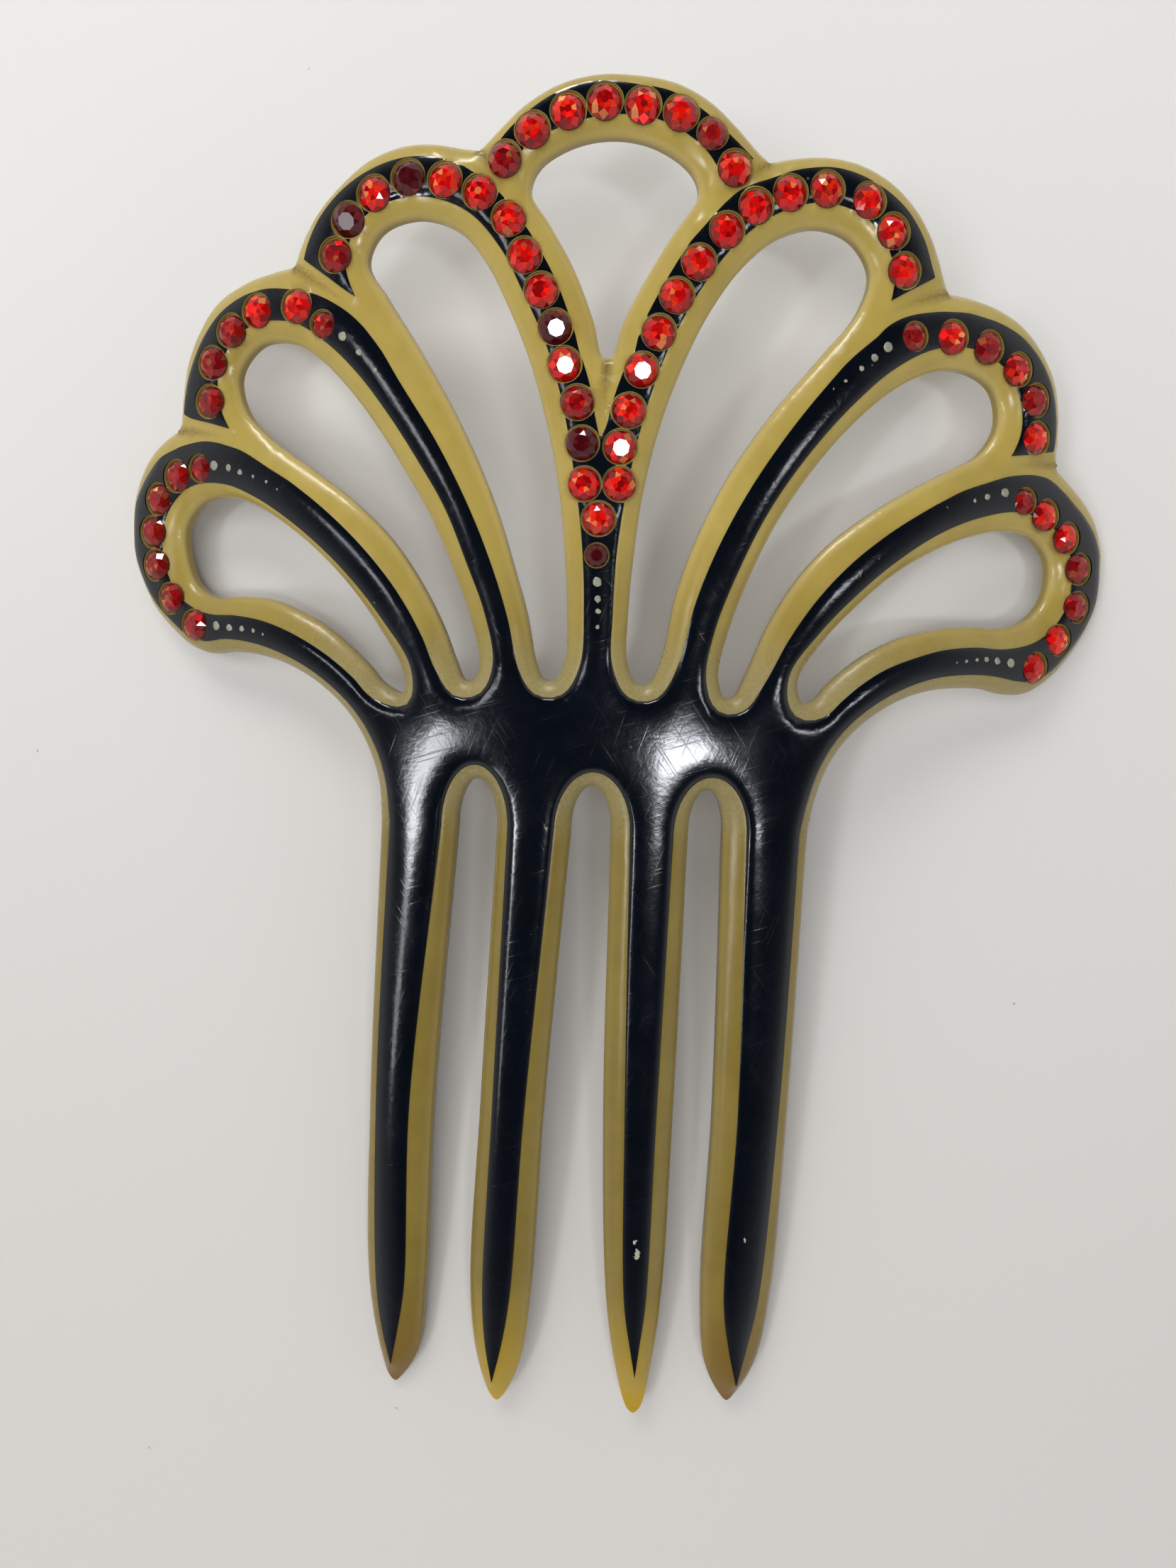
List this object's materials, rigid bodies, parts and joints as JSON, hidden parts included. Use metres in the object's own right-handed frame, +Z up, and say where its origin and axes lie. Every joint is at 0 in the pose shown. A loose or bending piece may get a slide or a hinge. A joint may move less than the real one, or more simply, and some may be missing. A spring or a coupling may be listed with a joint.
{
  "type": "mantilla comb",
  "caption": "Bent fan-shaped hair comb with pierced petals, long tapering teeth, a black face over a horn-coloured sheet, and rows of red paste stones.",
  "frame": {"origin": "on the surface that the comb rests on, under the middle of its box", "axes": "+X across the comb, +Y from the teeth to the top of the fan, +Z up from the surface; the black face is up"},
  "size_m": [0.1338, 0.1704, 0.0285],
  "materials": {
    "horn_celluloid": "polished, slightly translucent",
    "black_celluloid": "polished, fine scratches",
    "red_paste": "faceted, foiled behind",
    "silver_dot": "dull, tarnished"
  },
  "bodies": {
    "root": {"horn_base": "horn_celluloid", "black_face": "black_celluloid", "stones_top": "red_paste", "stones_upper_left": "red_paste", "stones_upper_right": "red_paste", "stones_middle_left": "red_paste", "stones_middle_right": "red_paste", "stones_lower_left": "red_paste", "stones_lower_right": "red_paste", "stones_stem": "red_paste", "silver_dots": "silver_dot"}
  },
  "joints": []
}
